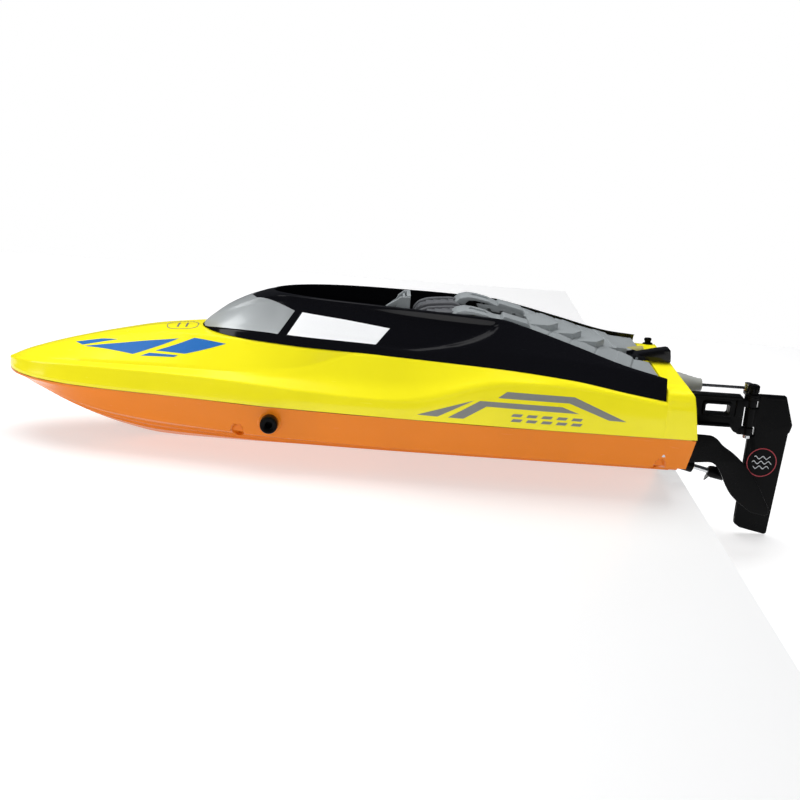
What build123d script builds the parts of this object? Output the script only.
from build123d import *
import math
import os

# Radio-controlled racing boat, millimetres, +X to the bow, +Y to port, +Z up.
# Everything is drawn in hull coordinates: X = 0 at the transom, Z = 0 at the deck seam.
# export() then moves it so that the origin is the centre of the bounding box's base.

# ---------------------------------------------------------------- driving dimensions
BOW_X = 369.9            # blunt tip of the bow
RUDDER_AFT_X = -67.1     # trailing corner of the rudder
RUDDER_BOTTOM_Z = -71.2  # lowest point of the whole boat
KEEL_Z = -34.0           # keel line under the planing hull
KEEL_PAD = 0.08          # half width of the flat on the keel, as a share of the chine
WALL = 1.8               # moulded wall of hull, deck and canopy
GAP = 0.35               # clearance between parts that lift off each other
SEAM = 0.5               # thickness of the rubber seam gasket

SHAFT_ANGLE = 13.0       # drive line, degrees down towards the stern
PROP_X, PROP_Z = -28.5, -36.0
SHAFT_R = 1.5
RUNNING = 0.03           # radial clearance of every running fit

RUDDER_AXIS_X = -42.4
PIN_R = 1.3
ARM = 11.0               # pivot radius of the rudder arm and of the servo horn
ROD_Z = 12.3             # height of the steering rod
HORN_TOP_Z = ROD_Z - 1.5 # top of the servo horn and of the rudder arm
SERVO_X = 31.0           # servo output axis

TUB_FLOOR_Z = 36.5
TUB_WALL = 1.4
LATCH_X, LATCH_Z = 26.5, 29.4
LATCH_EYE_R, LATCH_PIN_R = 1.65, 0.8
LATCH_FLOOR_Z = 27.6     # recess in the engine deck that the latch lies in

BRACKET_TOP_Z = 10.7
KNUCKLES = ((-11.6, -7.2), (4.6, 8.9))       # heights of the bracket's lower and upper bearing
BLADE_TOP_Z = 12.2
ARM_Z = (HORN_TOP_Z - 1.6, HORN_TOP_Z)       # underside and top of the rudder arm
EAR_Z = -1.4             # underside of the servo's mounting ears
BOOT_R = 4.3             # hole in the transom for the steering rod's boot
FIN_Y = 22.4             # inner face of the turn fin

TUBE_R = 2.4             # stern tube's outside
OUTLET_X, OUTLET_Z = 223.0, -8.2
PICKUP_Y, PICKUP_Z = -15.0, -23.0
SCREW_X = (16.0, 240.0)
SCREW_INSET = 3.4        # from the seam's edge to a screw's axis
SCREW_SEAT_Z = -9.0
HATCH = (74.0, 200.0, 20.5)                  # aft edge, fore edge and half width of the opening
COAMING_Z = 31.0         # top of the lip round the hatch
FLOOR_Z = -25.2          # battery floor
MOTOR_FLOOR_Z = -26.8
BULKHEAD_X = 54.4
MOTOR_S = 106.0          # aft face of the motor, along the drive line
MOTOR_R, MOTOR_LONG = 12.2, 31.0

# Table of offsets of the hull: X, keel Z, chine Y, chine Z, seam Y
HULL = [
    (0, KEEL_Z, 51.0, -17.0, 54.0),
    (82, KEEL_Z, 50.2, -17.0, 53.1),
    (155, KEEL_Z, 48.0, -17.2, 50.2),
    (223, KEEL_Z, 43.5, -16.8, 45.4),
    (271, -33.4, 35.0, -16.4, 38.4),
    (310, -28.6, 27.2, -14.6, 33.3),
    (333, -20.4, 19.5, -11.6, 28.6),
    (352, -11.4, 11.0, -7.2, 20.8),
    (363, -5.6, 4.6, -3.8, 12.4),
    (BOW_X, -1.6, 0.8, -1.2, 2.4),
]
# Table of offsets of the deck: X, seam Y, shoulder Y, shoulder Z, inner Y, inner Z, centre Z.
# The inner line is the canopy's foot back to the stern and the bonnet's crease forward of it.
DECK = [
    (17.6, 53.9, 53.0, 17.4, 50.6, 19.0, 19.0),
    (50, 53.5, 52.0, 21.5, 49.5, 23.6, 23.6),
    (77, 53.1, 50.9, 23.6, 47.0, 27.2, 27.2),
    (103, 52.4, 50.3, 22.6, 43.5, 28.3, 28.3),
    (122, 51.7, 50.1, 18.0, 41.0, 28.6, 28.6),
    (140, 50.9, 49.8, 12.2, 38.2, 28.8, 28.8),
    (165, 49.5, 48.4, 9.4, 35.0, 29.0, 29.0),
    (208, 46.6, 45.3, 10.2, 30.2, 29.2, 29.2),
    (243, 42.6, 40.8, 11.5, 21.6, 29.6, 29.6),
    (262, 39.6, 37.6, 11.7, 17.0, 29.4, 30.0),
    (286, 36.5, 34.4, 11.6, 11.5, 27.8, 28.8),
    (310, 33.3, 31.0, 11.2, 7.6, 23.6, 24.2),
    (333, 28.6, 26.2, 10.2, 5.0, 18.2, 18.5),
    (352, 20.8, 18.6, 8.6, 3.2, 12.6, 12.8),
    (363, 12.4, 10.4, 6.9, 1.8, 8.6, 8.7),
    (BOW_X, 2.4, 2.0, 4.2, 0.9, 5.2, 5.4),
]
# Table of offsets of the canopy: X, foot Y, foot Z, rim Y, rim Z
CANOPY = [
    (18.4, 50.6, 19.3, 46.9, 30.0),
    (36, 50.0, 21.6, 41.0, 32.8),
    (68, 47.6, 26.4, 33.2, 41.3),
    (105, 43.2, 28.5, 26.2, 50.6),
    (131, 39.6, 28.9, 26.0, 51.7),
    (159, 35.8, 29.2, 24.2, 52.5),
    (188, 32.4, 29.4, 21.4, 53.1),
    (208, 30.0, 29.5, 16.8, 52.9),
    (226, 26.4, 29.8, 9.6, 51.8),
    (238, 22.8, 29.9, 8.4, 48.2),
    (250, 17.0, 30.0, 6.6, 42.2),
    (259, 9.6, 30.1, 4.0, 35.6),
    (265, 1.6, 30.2, 1.2, 31.2),
]

os.makedirs("parts", exist_ok=True)
TO_FRAME = Location((-(BOW_X + RUDDER_AFT_X) / 2, 0, -RUDDER_BOTTOM_Z))


def export(name, *shapes):
    """Write one node, one or more separate solids, moved to the part's frame."""
    solids = [s for shape in shapes for s in shape.solids()]
    body = solids[0] if len(solids) == 1 else Compound(children=solids)
    export_step(body.moved(TO_FRAME), f"parts/{name}.step")
    print(f"{name}: {len(solids)} solid(s)")


# ---------------------------------------------------------------- small helpers
def at(table, x):
    """A row of a table of offsets at any X, by straight lines between its stations."""
    if x <= table[0][0]:
        return (x,) + table[0][1:]
    for a, b in zip(table, table[1:]):
        if x <= b[0]:
            t = (x - a[0]) / (b[0] - a[0])
            return tuple(u + t * (v - u) for u, v in zip(a, b))
    return (x,) + table[-1][1:]


def section(x, half):
    """A closed face across the boat from the points of its port half, keel side first."""
    port = [(x, y, z) for y, z in half]
    starboard = [(x, -y, z) for y, z in reversed(half) if y > 0]
    return Face(Wire.make_polygon(port + starboard, close=True))


def skin(sections):
    return Solid.make_loft([s.outer_wire() for s in sections], ruled=True)


def box(x0, x1, y0, y1, z0, z1):
    size = (x1 - x0, y1 - y0, z1 - z0)
    return Pos((x0 + x1) / 2, (y0 + y1) / 2, (z0 + z1) / 2) * Box(*size)


def rod(start, end, radius, inner=0.0):
    """A round bar or tube between two points."""
    plane = Plane(origin=start, z_dir=Vector(*end) - Vector(*start))
    length = (Vector(*end) - Vector(*start)).length
    ring = Circle(radius) - Circle(inner) if inner else Circle(radius)
    return extrude(plane * ring, length)


def plate_y(points, y0, y1):
    """An outline in X and Z, given thickness across the boat."""
    outline = Face(Wire.make_polygon([(x, y0, z) for x, z in points], close=True))
    return Solid.extrude(outline, Vector(0, y1 - y0, 0))


def hose(points, radius):
    """A tube along straight runs, joined by arcs as large as the runs allow."""
    corners = [Vector(*p) for p in points]
    bends = []
    for a, b, c in zip(corners, corners[1:], corners[2:]):
        half_turn = math.radians((b - a).get_angle(c - b)) / 2
        shorter = min((b - a).length, (c - b).length)
        bends.append(0.45 * shorter / math.tan(half_turn))
    path = FilletPolyline(*corners, radius=bends)
    start = Plane(origin=path @ 0, z_dir=path % 0)
    return sweep(start * Circle(radius), path=path)


def shaft_point(s, lateral=0.0, up=0.0):
    """A point s forward of the propeller along the drive line, and off it."""
    a = math.radians(SHAFT_ANGLE)
    x = PROP_X + s * math.cos(a) - up * math.sin(a)
    z = PROP_Z + s * math.sin(a) + up * math.cos(a)
    return (x, lateral, z)


def shaft_bar(s0, s1, radius, inner=0.0):
    return rod(shaft_point(s0), shaft_point(s1), radius, inner)


DRIVE_PLANE = Plane(origin=shaft_point(0), x_dir=(0, 1, 0),
                    z_dir=(math.cos(math.radians(SHAFT_ANGLE)), 0, math.sin(math.radians(SHAFT_ANGLE))))


# ---------------------------------------------------------------- hull and deck shells
def hull_side_y(x, z):
    """Half beam of the hull's side between seam and chine."""
    _, _, chine_y, chine_z, seam_y = at(HULL, x)
    return seam_y + (z / chine_z) * (chine_y - seam_y)


def hull_half(x, inset=0.0, top=-SEAM / 2):
    _, keel, chine_y, chine_z, seam_y = at(HULL, x)
    y = max(chine_y - 1.2 * inset, 0.4)
    pad = KEEL_PAD * chine_y
    return [(0, keel + 1.15 * inset), (pad, keel + 1.15 * inset), (y, chine_z + 0.7 * inset),
            (max(seam_y - inset, 0.8), top)]


def hull_shell():
    stations = [0] + [row[0] for row in HULL[1:]]
    outer = skin([section(x, hull_half(x)) for x in stations])
    inner_x = [3 + WALL, 82, 155, 223, 271, 310, 333, 350]
    inner = skin([section(x, hull_half(x, WALL, 2.0)) for x in inner_x])
    rake = plate_y([(-1, 1), (0.8, 1), (5.6, KEEL_Z - 1), (-1, KEEL_Z - 1)], -60, 60)
    shell = outer - inner - rake
    floor = box(122, 250, -18, 18, -28.5, FLOOR_Z) & outer
    motor_floor = box(70, 90, -14, 14, -29.5, MOTOR_FLOOR_Z) & outer
    bulkhead = section(BULKHEAD_X, hull_half(BULKHEAD_X, 0.4, -8))
    bulkhead = Solid.extrude(bulkhead, Vector(2.0, 0, 0))
    side_y = hull_side_y(OUTLET_X, OUTLET_Z)
    collar = rod((OUTLET_X, side_y - 1.4, OUTLET_Z), (OUTLET_X, side_y + 0.9, OUTLET_Z), 6.2)
    shell = shell + floor + motor_floor + bulkhead + collar
    tube_hole = shaft_bar(10, 92, TUBE_R)
    outlet_hole = rod((OUTLET_X, 30, OUTLET_Z), (OUTLET_X, 60, OUTLET_Z), 3.2)
    pickup_hole = rod((-2, PICKUP_Y, PICKUP_Z), (12, PICKUP_Y, PICKUP_Z), 2.0)
    shell = shell - tube_hole - outlet_hole - pickup_hole
    for x in SCREW_X:
        y = at(HULL, x)[4] - SCREW_INSET
        for side in (-1, 1):
            shell = shell + (rod((x, side * y, -16), (x, side * y, -0.3), 2.6) & outer)
            shell = shell - rod((x, side * y, -30), (x, side * y, SCREW_SEAT_Z), 2.1)
            shell = shell - rod((x, side * y, -10), (x, side * y, 1), 1.2)
    return shell


def deck_half(x, inset=0.0, bottom=SEAM / 2):
    _, seam_y, sh_y, sh_z, in_y, in_z, mid_z = at(DECK, x)
    points = [(max(seam_y - inset, 0.8), bottom)]
    points.append((max(sh_y - inset, 0.7), sh_z - 0.6 * inset))
    points.append((max(in_y - inset, 0.3), in_z - inset))
    points.append((0, mid_z - inset))
    return points


def stern_half(x, inset=0.0, bottom=SEAM / 2):
    lift = 0.6 * (x / 17.6)
    return [(54.0 - inset, bottom), (53.1 - inset, 16.6 - inset + lift),
            (51.2 - inset, 23.6 - inset), (46.0 - inset, 25.2 - inset), (0, 27.0 - inset)]


def deck_shell():
    stations = [row[0] for row in DECK]
    front = skin([section(x, deck_half(x)) for x in stations])
    stern = skin([section(x, stern_half(x)) for x in (0, 17.8)])
    rake = plate_y([(-1, -1), (0, -1), (0, 0), (4.4, 23), (7.2, 26.4), (7.6, 40), (-1, 40)], -60, 60)
    inner_x = [17.6] + stations[1:-2] + [358]
    hollow = skin([section(x, deck_half(x, WALL, -1)) for x in inner_x])
    stern_hollow = skin([section(x, stern_half(x, WALL, -1)) for x in (6.5, 17.6)])
    stern_low = box(6.5, 17.7, -50, 50, -2, 17.0)
    shell = front + (stern - rake) - hollow - (stern_hollow & stern_low)
    lip = box(HATCH[0] - 2, HATCH[1] + 2, -HATCH[2] - 2, HATCH[2] + 2, 25, COAMING_Z)
    shell = shell + lip
    shell = shell - box(HATCH[0], HATCH[1], -HATCH[2], HATCH[2], 20, 40)
    shell = shell - rod((-2, -ARM, ROD_Z), (14, -ARM, ROD_Z), BOOT_R)
    for x in SCREW_X:
        y = at(HULL, x)[4] - SCREW_INSET
        for side in (-1, 1):
            boss = rod((x, side * y, SEAM / 2), (x, side * y, 8), 2.6)
            shell = shell + boss - rod((x, side * y, -1), (x, side * y, 7), 0.95)
    shell = shell - rod((10, -45, 22), (10, -45, 30), 1.6)
    return shell


def seam_gasket():
    """A thin rubber ring between the hull's and the deck's flanges."""
    outer = skin([section(x, [(max(at(HULL, x)[4] - 0.4, 0.9), -SEAM / 2),
                              (max(at(HULL, x)[4] - 0.4, 0.9), SEAM / 2)])
                  for x in [2.6] + [row[0] for row in HULL[1:-1]]])
    inner = skin([section(x, [(at(HULL, x)[4] - 1.6, -1), (at(HULL, x)[4] - 1.6, 1)])
                  for x in [6.2, 82, 155, 223, 271, 310, 333, 350]])
    ring = outer - inner
    for x in SCREW_X:
        for side in (-1, 1):
            y = side * (at(HULL, x)[4] - SCREW_INSET)
            ring = ring - rod((x, y, -2), (x, y, 2), 2.7)
    return ring


# ---------------------------------------------------------------- canopy
def canopy_half(x, inset=0.0, drop=0.0):
    _, foot_y, foot_z, rim_y, rim_z = at(CANOPY, x)
    return [(0, foot_z - drop), (max(foot_y - inset, 0.6), foot_z - drop),
            (max(rim_y - inset, 0.5), rim_z - inset * 0.4), (0, rim_z - inset * 0.4)]


def canopy_shell():
    stations = [row[0] for row in CANOPY]
    outer = skin([section(x, canopy_half(x)) for x in stations])
    inner_x = [20.2] + stations[1:-3] + [247]
    inner = skin([section(x, canopy_half(x, WALL, 3.0)) for x in inner_x])
    lid = []
    for x in (19.6, 36, 68, 105, 131, 159, 188, 208, 223):
        _, _, _, rim_y, rim_z = at(CANOPY, x)
        y = max(rim_y - WALL, 4.0)
        lid.append(section(x, [(0, rim_z - 4), (y, rim_z - 4), (y, rim_z + 4), (0, rim_z + 4)]))
    roof = skin([section(x, canopy_half(x)) for x in (222, 226, 238, 250)])
    nose_x = (221, 226, 238, 246)
    nose = skin([section(x, [(0, 20), (at(CANOPY, x)[1] - WALL, 20),
                             (max(at(CANOPY, x)[3] - WALL, 3), at(CANOPY, x)[4] - 2.0),
                             (0, at(CANOPY, x)[4] - 2.0)]) for x in nose_x])
    shell = outer - inner - skin(lid) + (roof - nose)
    shell = shell - SIDE_PANELS[0] - SIDE_PANELS[1] - SCREEN_POCKET
    tongue = box(250, 256, -4, 4, 31, 33.5)
    deck_top = skin([section(row[0], deck_half(row[0])) for row in DECK])
    under = deck_top.moved(Location((0, 0, GAP)))
    lip = box(HATCH[0] - 3, HATCH[1] + 3, -HATCH[2] - 3, HATCH[2] + 3, 25, COAMING_Z + GAP)
    latch_slot = box(17, 32, -6, 6, LATCH_FLOOR_Z - 0.3, 40)
    shell = shell + tongue - under - lip - latch_slot
    return shell.solids().sort_by(SortBy.VOLUME)[-1]


def flank_panel(x0, x1, low, high, depth):
    """A pane that lies in the canopy's flank, between two heights as shares of the flank."""
    faces = []
    for x in (x0, (x0 + x1) / 2, x1):
        _, foot_y, foot_z, rim_y, rim_z = at(CANOPY, x)
        points = []
        for share, out in ((low, 0.0), (low, -depth), (high, -depth), (high, 0.0)):
            y = foot_y + share * (rim_y - foot_y) + out
            z = foot_z + share * (rim_z - foot_z)
            points.append((x, y, z))
        faces.append(Wire.make_polygon(points, close=True))
    return Solid.make_loft(faces, ruled=True)


WINDOW = flank_panel(166, 213, 0.24, 0.66, 1.0)
SIDE_PANELS = [WINDOW, WINDOW.mirror(Plane.XZ)]


def screen_band(inset):
    """The windscreen's wrapped band round the canopy's nose, as a closed solid."""
    rows = []
    for x in (217, 226, 238, 250, 258):
        _, foot_y, foot_z, rim_y, rim_z = at(CANOPY, x)
        top = 0.74 if x < 240 else 0.92
        y_low = foot_y + 0.22 * (rim_y - foot_y) - inset
        y_top = foot_y + top * (rim_y - foot_y) - inset
        z_low = foot_z + 0.22 * (rim_z - foot_z)
        z_top = foot_z + top * (rim_z - foot_z) - 0.3 * inset
        low_corner = (max(y_low, 0.8), z_low)
        top_corner = (max(y_top, 0.6), z_top)
        rows.append(section(x, [(0, z_low), low_corner, top_corner, (0, z_top)]))
    return skin(rows)


SCREEN_POCKET = (screen_band(-2.0) - screen_band(1.0))


def windscreen():
    nose = skin([section(x, canopy_half(x)) for x in [row[0] for row in CANOPY][-6:]])
    pane = (SCREEN_POCKET & nose)
    return [s for s in pane.solids() if s.volume > 20]


def cockpit_tub():
    walls = []
    for x in (117.5, 131, 159, 188, 208, 214.5):
        _, _, _, rim_y, rim_z = at(CANOPY, x)
        y = rim_y - WALL - 0.5
        walls.append((x, y, rim_z - 2.6))
    base = TUB_FLOOR_Z - TUB_WALL
    outer = skin([section(x, [(0, base), (y, base), (y, z), (0, z)]) for x, y, z in walls])
    rows = []
    for (x, y, z), end in zip(walls, (TUB_WALL, 0, 0, 0, 0, -TUB_WALL)):
        inside = y - TUB_WALL
        rows.append(section(x + end, [(0, TUB_FLOOR_Z), (inside, TUB_FLOOR_Z), (inside, z + 3), (0, z + 3)]))
    return outer - skin(rows)


def seat(side):
    """A moulded race seat: base and a raked back."""
    y0, y1 = side * 11.5 - 8.0, side * 11.5 + 8.0
    base = box(130, 148, y0, y1, TUB_FLOOR_Z + 0.05, TUB_FLOOR_Z + 6)
    back = plate_y([(126, TUB_FLOOR_Z + 3), (131, TUB_FLOOR_Z + 3), (128, 50.5), (123.5, 50.5)], y0, y1)
    return base + back


def seat_frame():
    """The pale cross frame ahead of the seats: two posts, a dash beam and a hoop foot."""
    beam = box(152, 158, -20.5, 20.5, 43.0, 45.5)
    posts = []
    for side in (-1, 1):
        foot_z = TUB_FLOOR_Z + 0.05
        outline = [(150, foot_z), (158, foot_z), (161, 54.5), (157, 55.5), (150.5, 47)]
        posts.append(plate_y(outline, side * 4 - 1.2, side * 4 + 1.2))
    return beam + posts[0] + posts[1]


def engine_deck():
    """The sloping louvred panel that closes the canopy behind the cockpit."""
    rows = []
    for x in (19.9, 36, 68, 105, 115.5):
        _, _, _, rim_y, rim_z = at(CANOPY, x)
        y = rim_y - WALL - 0.6
        top = rim_z - 1.0
        rows.append(section(x, [(0, top - 4.0), (y, top - 2.2), (y, top), (15, top), (0, top - 0.6)]))
    panel = skin(rows)
    channel = plate_y([(56, 40), (112, 54), (112, 49.2), (56, 35.6)], -11, 11)
    panel = panel - channel
    for i in range(3):
        x = 62 + 15 * i
        z = at(CANOPY, x)[4] - 4.6
        rib = plate_y([(x, z - 1.4), (x + 13, z + 1.2), (x + 12, z + 4.4), (x, z + 0.4)], -10.9, 10.9)
        panel = panel + rib
    return panel - box(17, 32, -6, 6, LATCH_FLOOR_Z, 40)


def intake_cowl(side):
    """A raised air intake on the engine deck, open to the front."""
    y0, y1 = side * 17 - 6.5, side * 17 + 6.5
    body = plate_y([(84, 44.6), (114.5, 49.9), (114.5, 54.6), (108, 55.2), (84, 47.4)], y0, y1)
    mouth = box(106, 118, y0 + 1.5, y1 - 1.5, 51.2, 53.4)
    return body - mouth


def latch_lever():
    """The wedge-shaped catch that holds the canopy down on the stern deck."""
    bottom, top = LATCH_Z - LATCH_EYE_R, LATCH_Z + LATCH_EYE_R
    outline = [(LATCH_X, bottom), (LATCH_X, top), (24, 31.6), (9.2, 35.1), (7.4, 34.6), (7.0, 27.6)]
    wedge = plate_y(outline, -3.2, 3.2)
    wedge = wedge + rod((LATCH_X, -3.2, LATCH_Z), (LATCH_X, 3.2, LATCH_Z), LATCH_EYE_R)
    hole = rod((LATCH_X, -5, LATCH_Z), (LATCH_X, 5, LATCH_Z), LATCH_PIN_R + RUNNING)
    return wedge - hole


def latch_ears():
    ears = []
    for side in (-1, 1):
        y0, y1 = sorted((side * 3.6, side * 5.4))
        outline = [(22.5, LATCH_FLOOR_Z), (30.5, LATCH_FLOOR_Z), (30.5, 30.6), (27, 31.6), (23.5, 30.6)]
        ear = plate_y(outline, y0, y1)
        ears.append(ear - rod((LATCH_X, y0 - 1, LATCH_Z), (LATCH_X, y1 + 1, LATCH_Z), LATCH_PIN_R))
    return ears


# ---------------------------------------------------------------- watertight hatch under the canopy
def inner_lid():
    x0, x1, y = HATCH
    plate = box(x0 - 4.5, x1 + 4.5, -y - 4.5, y + 4.5, COAMING_Z + 0.9, COAMING_Z + 2.4)
    skirt = box(x0 - 4.5, x1 + 4.5, -y - 4.5, y + 4.5, COAMING_Z - 1.4, COAMING_Z + 1.0)
    skirt = skirt - box(x0 - 2.9, x1 + 2.9, -y - 2.9, y + 2.9, 20, 60)
    knob = Pos((x0 + x1) / 2, 0, COAMING_Z + 2.9) * Cylinder(6, 1.0)
    return plate + skirt + knob


def lid_seal():
    x0, x1, y = HATCH
    ring = box(x0 - 2.0, x1 + 2.0, -y - 2.0, y + 2.0, COAMING_Z + 0.3, COAMING_Z + 0.9)
    return ring - box(x0 - 0.4, x1 + 0.4, -y - 0.4, y + 0.4, 20, 60)


# ---------------------------------------------------------------- steering
def transom_bracket():
    """The moulded rudder bracket: a foot on the transom, a webbed arm and two knuckles."""
    web = plate_y([(-2, 9.2), (-36.2, 9.2), (-36.2, 8.9), (-38.4, 8.9), (-38.4, -11.6), (-33.8, -10.2),
                   (-31.6, -7.2), (-2, -7.2)], -2.0, 2.0)
    window = box(-29.9, -15.9, -6, 6, -0.2, 5.8)
    flange = box(-36.2, -0.2, -3.8, 3.8, 8.9, BRACKET_TOP_Z)
    foot = box(-2.2, -0.2, -9.5, 9.5, -10.5, 6.5) + box(-2.2, -0.2, -3.8, 3.8, 0, BRACKET_TOP_Z)
    rib = box(-36.2, -0.2, -3.8, 3.8, -7.2, -5.6)
    body = web + flange + foot + rib - window
    for z0, z1 in KNUCKLES:
        body = body + rod((RUDDER_AXIS_X, 0, z0), (RUDDER_AXIS_X, 0, z1), 3.1)
        body = body + box(RUDDER_AXIS_X + 1, -36.0, -2.0, 2.0, z0, z1)
    return body - rod((RUDDER_AXIS_X, 0, -20), (RUDDER_AXIS_X, 0, 20), PIN_R + RUNNING)


def rudder_blade():
    """The flat rudder with a bevelled leading edge, a swept heel and a barrel on the pin."""
    outline = [(-42.9, BLADE_TOP_Z), (-61.2, BLADE_TOP_Z), (RUDDER_AFT_X, -4.5), (-66.0, -8.6),
               (-62.2, RUDDER_BOTTOM_Z), (-45.0, -67.6), (-42.9, -65.0)]
    blade = plate_y(outline, -1.7, 1.7)
    edges = blade.edges().filter_by(GeomType.LINE).filter_by(Axis.Z).sort_by(Axis.X)[-2:]
    blade = chamfer(edges, length=1.2)
    blade = blade - box(-48.6, -38.0, -6, 6, -14.2, KNUCKLES[0][1] + 0.3)
    blade = blade - box(-48.6, -38.0, -6, 6, KNUCKLES[1][0] - 0.3, BLADE_TOP_Z + 1)
    barrel_low, barrel_high = KNUCKLES[0][1] + 0.3, KNUCKLES[1][0] - 0.3
    blade = blade + rod((RUDDER_AXIS_X, 0, barrel_low), (RUDDER_AXIS_X, 0, barrel_high), 3.1)
    blade = blade + box(-48.0, -43.0, -1.7, 1.7, barrel_low, barrel_high)
    blade = blade - box(-54.0, RUDDER_AXIS_X, -6, 6, *ARM_Z)
    spine = box(-54.0, -48.7, 0.55, 1.7, ARM_Z[0] - 0.1, ARM_Z[1] + 0.1)
    blade = blade + spine + spine.mirror(Plane.XZ)
    return blade - rod((RUDDER_AXIS_X, 0, -20), (RUDDER_AXIS_X, 0, 20), PIN_R)


def rudder_arm():
    """The tiller clamped on top of the blade, reaching to starboard to the steering rod."""
    z0, z1 = ARM_Z
    hub = rod((RUDDER_AXIS_X, 0, z0), (RUDDER_AXIS_X, 0, z1), 4.4)
    arm = box(RUDDER_AXIS_X - 2.2, RUDDER_AXIS_X + 2.2, -ARM, 0, z0, z1)
    end = rod((RUDDER_AXIS_X, -ARM, z0), (RUDDER_AXIS_X, -ARM, z1), 2.2)
    tail = box(-53.8, RUDDER_AXIS_X, -0.5, 0.5, z0, z1)
    body = hub + arm + end + tail
    body = body - rod((RUDDER_AXIS_X, 0, 0), (RUDDER_AXIS_X, 0, 30), PIN_R)
    return body - rod((RUDDER_AXIS_X, -ARM, 0), (RUDDER_AXIS_X, -ARM, 30), 1.25)


def rudder_pin():
    """The hinge pin with its round cap."""
    pin = rod((RUDDER_AXIS_X, 0, -12.6), (RUDDER_AXIS_X, 0, 16.0), PIN_R)
    foot = rod((RUDDER_AXIS_X, 0, -13.6), (RUDDER_AXIS_X, 0, -12.0), 2.3)
    return pin + foot


def pivot_cap():
    z = ARM_Z[1]
    cap = rod((RUDDER_AXIS_X, 0, z), (RUDDER_AXIS_X, 0, 17.6), 3.0)
    return cap - rod((RUDDER_AXIS_X, 0, z - 1), (RUDDER_AXIS_X, 0, 16.0), PIN_R)


def pushrod():
    """The steering rod: a straight wire whose forward end turns up into the servo horn."""
    wire = rod((RUDDER_AXIS_X, -ARM, ROD_Z), (SERVO_X, -ARM, ROD_Z), 0.9)
    peg = rod((SERVO_X, -ARM, HORN_TOP_Z - 2.2), (SERVO_X, -ARM, ROD_Z), 0.8)
    return wire + peg


def linkage_stopper():
    """The clamp at the rod's aft end, with its screw on top and a stem down into the arm."""
    barrel = rod((RUDDER_AXIS_X, -ARM, HORN_TOP_Z + 0.3), (RUDDER_AXIS_X, -ARM, ROD_Z + 2.9), 2.1)
    stem = rod((RUDDER_AXIS_X, -ARM, ARM_Z[0] - 0.8), (RUDDER_AXIS_X, -ARM, HORN_TOP_Z + 0.4), 0.85)
    wire = rod((RUDDER_AXIS_X, -ARM, ROD_Z), (SERVO_X, -ARM, ROD_Z), 0.9)
    return barrel + stem - wire


def servo_case():
    body = box(SERVO_X - 6, SERVO_X + 17, -6.2, 6.2, -15.6, 5.8)
    ears = box(SERVO_X - 10.6, SERVO_X + 21.6, -6.2, 6.2, EAR_Z, EAR_Z + 2.0)
    turret = rod((SERVO_X, 0, 5.7), (SERVO_X, 0, 7.4), 5.6)
    case = body + ears + turret
    for x in (SERVO_X - 8.4, SERVO_X + 19.4):
        case = case - rod((x, 0, -4), (x, 0, 3), 1.0)
    return case - rod((SERVO_X, 0, 4.2), (SERVO_X, 0, 12), 1.8 + RUNNING)


def servo_horn():
    top = HORN_TOP_Z
    spline = rod((SERVO_X, 0, 4.5), (SERVO_X, 0, top - 0.4), 1.8)
    hub = rod((SERVO_X, 0, 7.7), (SERVO_X, 0, top), 3.2)
    arm = box(SERVO_X - 2.0, SERVO_X + 2.0, -ARM, 0, top - 1.4, top)
    end = rod((SERVO_X, -ARM, top - 1.4), (SERVO_X, -ARM, top), 2.0)
    return spline + hub + arm + end - rod((SERVO_X, -ARM, 5), (SERVO_X, -ARM, 16), 0.8 + RUNNING)


def servo_mount():
    """Two posts from the hull's bottom that carry the servo's ears, over the stuffing tube."""
    posts = []
    for x in (SERVO_X - 8.4, SERVO_X + 19.4):
        bridge = box(x - 2.1, x + 2.1, -9, 9, -6.4, EAR_Z - 0.05)
        for side in (-1, 1):
            y0, y1 = sorted((side * 5.0, side * 9.0))
            bridge = bridge + box(x - 2.1, x + 2.1, y0, y1, -28.4, EAR_Z - 0.05)
        posts.append(bridge - rod((x, 0, -8), (x, 0, 3), 0.9))
    return posts


def servo_screws():
    screws = []
    for x in (SERVO_X - 8.4, SERVO_X + 19.4):
        shank = rod((x, 0, EAR_Z - 4.8), (x, 0, EAR_Z + 2.2), 0.9)
        screws.append(shank + rod((x, 0, EAR_Z + 2.05), (x, 0, EAR_Z + 3.4), 1.9))
    return screws


def pushrod_boot():
    """The translucent bellows where the rod passes through the transom."""
    boot = rod((-1.0, -ARM, ROD_Z), (9.6, -ARM, ROD_Z), BOOT_R - 0.05)
    profile = []
    for i in range(4):
        x = -0.1 - 3.8 * i
        r = 5.3 - 0.33 * i
        cone = Solid.make_cone(r - 0.9, r, 2.0, Plane(origin=(x - 2.0, -ARM, ROD_Z), z_dir=(1, 0, 0)))
        back = Solid.make_cone(r, r - 0.9, 2.0, Plane(origin=(x - 4.0, -ARM, ROD_Z), z_dir=(1, 0, 0)))
        profile.append(cone)
        profile.append(back)
    for piece in profile:
        boot = boot + piece
    return boot - rod((-40, -ARM, ROD_Z), (20, -ARM, ROD_Z), 3.3)


# ---------------------------------------------------------------- drive line
def propeller():
    hub = shaft_bar(-5.0, 5.0, 3.4)
    prop = hub
    for i in range(2):
        turn = 32 + 180 * i
        blade = extrude(Ellipse(5.4, 8.4), 0.6, both=True)
        blade = Pos(0, 10.0, 0) * Rot(0, 42, 0) * Rot(-12, 0, 0) * blade
        prop = prop + DRIVE_PLANE * Rot(0, 0, turn) * blade
    return prop - shaft_bar(-8, 8, SHAFT_R)


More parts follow.
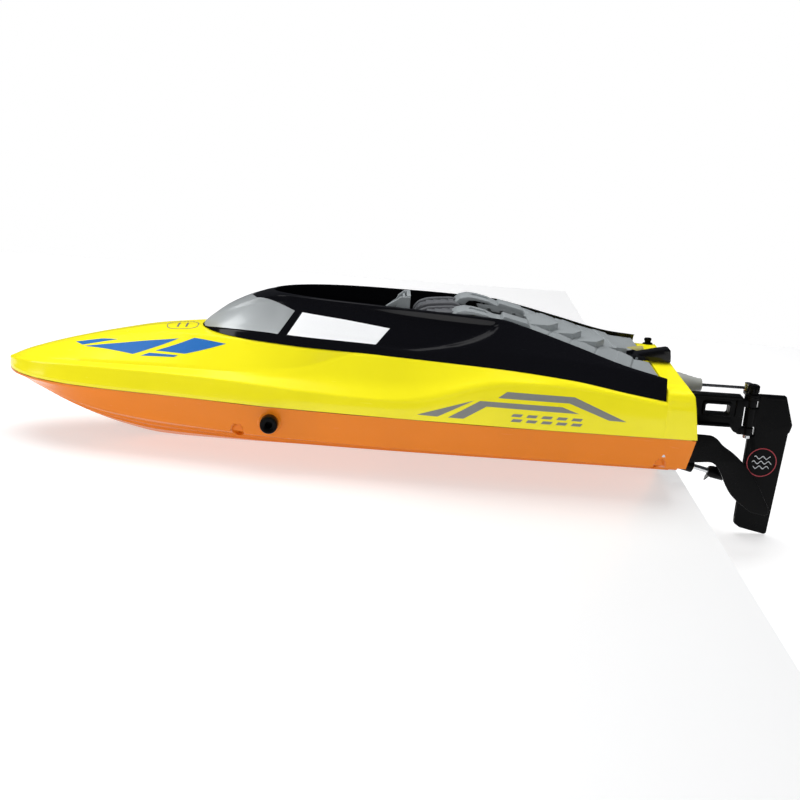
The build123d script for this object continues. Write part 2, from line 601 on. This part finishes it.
def turn_fin():
    """The sickle-shaped fin beside the propeller, with its foot on the transom."""
    top = Spline((0.8, FIN_Y, -6.2), (-14.5, FIN_Y, -6.4), (-29.0, FIN_Y, -15.8), (-43.0, FIN_Y, -29.6),
                 (-52.6, FIN_Y, -46.0))
    tip = Spline(top @ 1, (-53.6, FIN_Y, -49.6), (-49.6, FIN_Y, -50.8), tangents=[top % 1, (1, 0, 0.05)])
    low = Spline(tip @ 1, (-36.0, FIN_Y, -44.4), (-26.4, FIN_Y, -33.4), (-18.2, FIN_Y, -22.2),
                 tangents=[(1, 0, 0.1), (0.8, 0, 0.6)])
    back = Polyline(low @ 1, (-17.0, FIN_Y, -21.9), (0.9, FIN_Y, -22.0), top @ 0)
    face = Face(Wire([*top.edges(), *tip.edges(), *low.edges(), *back.edges()]))
    plate = Solid.extrude(face, Vector(0, 1.6, 0))
    foot = box(0.0, 3.1, FIN_Y - 7.0, FIN_Y + 1.6, -21.5, -7.0)
    clear = plate_y([(0.6, 0), (5.4, -33), (9, -33), (9, 0)], 0, 60)
    return plate + foot - clear


def motor_parts():
    parts = {}
    s0, s1 = MOTOR_S, MOTOR_S + MOTOR_LONG
    parts["motor_can"] = shaft_bar(s0, s1, MOTOR_R, MOTOR_R - 1.2)
    parts["motor_endcap"] = shaft_bar(s1, s1 + 3.0, MOTOR_R - 0.6)
    parts["cooling_jacket"] = shaft_bar(s0 + 6, s1 - 6, MOTOR_R + 1.6, MOTOR_R)
    for up in (-1, 1):
        s = s0 + 10 if up < 0 else s1 - 10
        a = shaft_point(s, 0, MOTOR_R + 0.8)
        b = shaft_point(s, 0, MOTOR_R + 6.0)
        parts["cooling_jacket"] = parts["cooling_jacket"] + rod(a, b, 1.4, 0.7)
    mount = shaft_bar(s0 - 2.0, s0, MOTOR_R + 1.4)
    mount = mount + box(MOUNT_X - 1.5, MOUNT_X + 8.0, -12.6, 12.6, MOTOR_FLOOR_Z + 0.05, -24.4)
    parts["motor_mount"] = mount - shaft_bar(s0 - 4, s0 + 1, 4.2)
    rotor = shaft_bar(s0 + 0.6, s1 - 0.6, MOTOR_R - 2.0)
    parts["motor_rotor"] = rotor + shaft_bar(s0 - 9, s0 + 1, 1.15)
    parts["shaft_coupling"] = shaft_bar(s0 - 16, s0 - 3, 3.2) - shaft_bar(s0 - 9, s0 - 2, 1.15) \
        - shaft_bar(s0 - 18, s0 - 9.4, SHAFT_R)
    return parts


MOUNT_X = shaft_point(MOTOR_S)[0] - 2.0


def drive_tube():
    return shaft_bar(14.0, 88.0, TUBE_R, TUBE_R - 0.5)


def shaft_bushes():
    return [shaft_bar(a, a + 6.0, TUBE_R - 0.5, SHAFT_R + RUNNING) for a in (14.0, 82.0)]


def prop_strut():
    """The black boss that holds the tube's aft end off the transom."""
    boss = shaft_bar(14.6, 30.5, 3.8, TUBE_R)
    return boss - plate_y([(0.4, 4), (0.4, -28), (1.2, -40), (20, -40), (20, 4)], -30, 30)


# ---------------------------------------------------------------- inside the hull
def motor_screws():
    screws = []
    for side in (-1, 1):
        a = shaft_point(MOTOR_S - 3.6, side * 8.0, 0)
        b = shaft_point(MOTOR_S - 2.0, side * 8.0, 0)
        screws.append(rod(a, b, 1.6))
    return screws


def build():
    export("hull_shell", hull_shell())
    export("deck_shell", deck_shell())
    export("seam_gasket", seam_gasket())
    screws = []
    for x in SCREW_X:
        for side in (-1, 1):
            y = side * (at(HULL, x)[4] - SCREW_INSET)
            shank = rod((x, y, SCREW_SEAT_Z - 0.2), (x, y, 6.4), 0.95)
            screws.append(shank + rod((x, y, SCREW_SEAT_Z - 1.5), (x, y, SCREW_SEAT_Z - 0.05), 2.0))
    export("hull_screws", *screws)
    outlet_y = hull_side_y(OUTLET_X, OUTLET_Z)
    flare = rod((OUTLET_X, outlet_y + 0.95, OUTLET_Z), (OUTLET_X, outlet_y + 7.4, OUTLET_Z), 4.4)
    stem = rod((OUTLET_X, outlet_y - 12.0, OUTLET_Z), (OUTLET_X, outlet_y + 1.0, OUTLET_Z), 3.15)
    inside = rod((OUTLET_X, outlet_y - 13.0, OUTLET_Z), (OUTLET_X, outlet_y + 8.0, OUTLET_Z), 1.6)
    export("cooling_outlet", flare + stem - inside)
    nut = rod((OUTLET_X, outlet_y - 6.8, OUTLET_Z), (OUTLET_X, outlet_y - 3.9, OUTLET_Z), 4.8, 3.2)
    export("outlet_nut", nut)
    pickup = rod((-8, PICKUP_Y, PICKUP_Z), (16, PICKUP_Y, PICKUP_Z), 2.0, 1.3)
    export("water_pickup", pickup)

    export("transom_bracket", transom_bracket())
    screws = []
    for y in (-6.6, 6.6):
        for z in (-8.2, 4.2):
            screws.append(rod((-3.4, y, z), (-2.2, y, z), 1.7))
    export("bracket_screws", *screws)
    export("rudder_blade", rudder_blade())
    export("rudder_arm", rudder_arm())
    export("rudder_pin", rudder_pin())
    export("pivot_cap", pivot_cap())
    export("pushrod", pushrod())
    export("linkage_stopper", linkage_stopper())
    export("pushrod_boot", pushrod_boot())
    export("servo_case", servo_case())
    export("servo_horn", servo_horn())
    export("servo_mount", *servo_mount())
    export("servo_screws", *servo_screws())

    export("turn_fin", turn_fin())
    export("propeller", propeller())
    export("prop_nut", shaft_bar(-8.6, -5.1, 2.7, SHAFT_R))
    export("drive_shaft", shaft_bar(-8.2, MOTOR_S - 9.4, SHAFT_R))
    export("stern_tube", drive_tube())
    export("shaft_bushes", *shaft_bushes())
    export("tube_boss", prop_strut())
    for name, shape in motor_parts().items():
        export(name, shape)
    export("motor_screws", *motor_screws())

    low = FLOOR_Z + 0.1
    export("battery_pack", box(128, 198, -17.0, 17.0, low, low + 18.0))
    strap = box(156, 168, -18.0, 18.0, low + 1.2, low + 19.0)
    strap = strap - box(150, 175, -17.02, 17.02, low, low + 18.02)
    export("battery_strap", strap)
    export("battery_plug", box(203, 213, -5, 5, low, low + 7.0))
    export("battery_lead", hose([(198.0, 0, -12), (208, 0, -12), (208, 0, low + 7.0)], 1.1))
    case = box(218, 248, -13, 13, low, low + 13.0)
    board = box(221, 245, -10.5, 10.5, -20, -18.2)
    case = case - box(219.4, 246.6, -11.6, 11.6, low + 1.4, 0)
    export("control_case", case)
    export("control_cover", box(218, 248, -13, 13, low + 13.05, low + 14.5))
    export("control_board", board)
    export("foam_float", skin([section(x, [(0, at(HULL, x)[1] + 8), (at(HULL, x)[2] * 0.55, -9),
                                           (at(HULL, x)[2] * 0.55, 3), (0, 3)]) for x in (272, 300, 322)]))
    nipple_in = shaft_point(MOTOR_S + 10, 0, MOTOR_R + 6.0)
    above_in = shaft_point(MOTOR_S + 10, 0, MOTOR_R + 15.0)
    feed = hose([(16, PICKUP_Y, PICKUP_Z), (32, PICKUP_Y, PICKUP_Z), (46, -21, -4), (66, -18, 3),
                 above_in, nipple_in], 1.9)
    export("water_feed_hose", feed)
    nipple_out = shaft_point(MOTOR_S + MOTOR_LONG - 10, 0, MOTOR_R + 6.0)
    above_out = shaft_point(MOTOR_S + MOTOR_LONG - 10, 0, MOTOR_R + 14.0)
    drain = hose([nipple_out, above_out, (126, 24, 4), (180, 30, -2),
                  (OUTLET_X, outlet_y - 28, OUTLET_Z), (OUTLET_X, outlet_y - 12, OUTLET_Z)], 1.9)
    export("water_drain_hose", drain)

    export("canopy_shell", canopy_shell())
    export("windscreen", *windscreen())
    export("side_window_port", SIDE_PANELS[0])
    export("side_window_starboard", SIDE_PANELS[1])
    export("cockpit_tub", cockpit_tub())
    export("seat_port", seat(1))
    export("seat_starboard", seat(-1))
    export("seat_frame", seat_frame())
    deck = engine_deck()
    export("engine_deck", deck)
    export("intake_cowls", intake_cowl(1) - deck, intake_cowl(-1) - deck)
    export("latch_ears", *latch_ears())
    export("latch_pin", rod((LATCH_X, -5.4, LATCH_Z), (LATCH_X, 5.4, LATCH_Z), LATCH_PIN_R))
    export("latch_lever", latch_lever())
    export("inner_lid", inner_lid())
    export("lid_seal", lid_seal())
    button_head = rod((10, -45, 25.5), (10, -45, 28.2), 2.2)
    button_stem = rod((10, -45, 22.5), (10, -45, 25.6), 1.55)
    export("stern_button", button_head + button_stem)


build()
